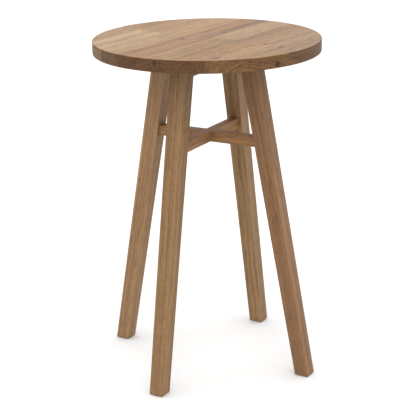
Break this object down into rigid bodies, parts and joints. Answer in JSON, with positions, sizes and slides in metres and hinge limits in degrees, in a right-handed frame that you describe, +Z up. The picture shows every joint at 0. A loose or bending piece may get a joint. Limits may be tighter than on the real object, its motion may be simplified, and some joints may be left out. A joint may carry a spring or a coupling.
{
  "type": "round bar table",
  "caption": "Tall round oak bar table: a glued-up top on two crossed frames of splayed square legs, joined by bearers and crossed stretchers.",
  "frame": {"origin": "on the floor, under the middle of the round top", "axes": "+Z up; +X to the right along one crossed frame, from leg_left to leg_right; +Y to the back along the other, from leg_front to leg_back"},
  "size_m": [0.715, 0.715, 1.05],
  "materials": {
    "oak_top": "matt oiled",
    "oak_legs": "matt oiled",
    "oak_rails": "matt oiled",
    "beech_dowel": "bare turned",
    "zinc_steel": "zinc plated",
    "nylon": "moulded"
  },
  "bodies": {
    "root": {"top_stave_1_left": "oak_top", "top_stave_2_left": "oak_top", "top_stave_3_left": "oak_top", "top_stave_4_left": "oak_top", "top_stave_5_left": "oak_top", "top_stave_6_left": "oak_top", "top_stave_7_left": "oak_top", "top_stave_8_left": "oak_top", "top_stave_1_right": "oak_top", "top_stave_2_right": "oak_top", "top_stave_3_right": "oak_top", "top_stave_4_right": "oak_top", "top_stave_5_right": "oak_top", "top_stave_6_right": "oak_top", "top_stave_7_right": "oak_top", "top_stave_8_right": "oak_top", "leg_left": "oak_legs", "leg_right": "oak_legs", "leg_front": "oak_legs", "leg_back": "oak_legs", "bearer_left_right": "oak_rails", "bearer_front_back": "oak_rails", "stretcher_left_right": "oak_rails", "stretcher_front_back": "oak_rails", "bearer_dowels": "beech_dowel", "stretcher_dowels": "beech_dowel", "top_screws": "zinc_steel", "screw_washers": "zinc_steel", "foot_glides": "nylon", "glide_nails": "zinc_steel"}
  },
  "joints": []
}
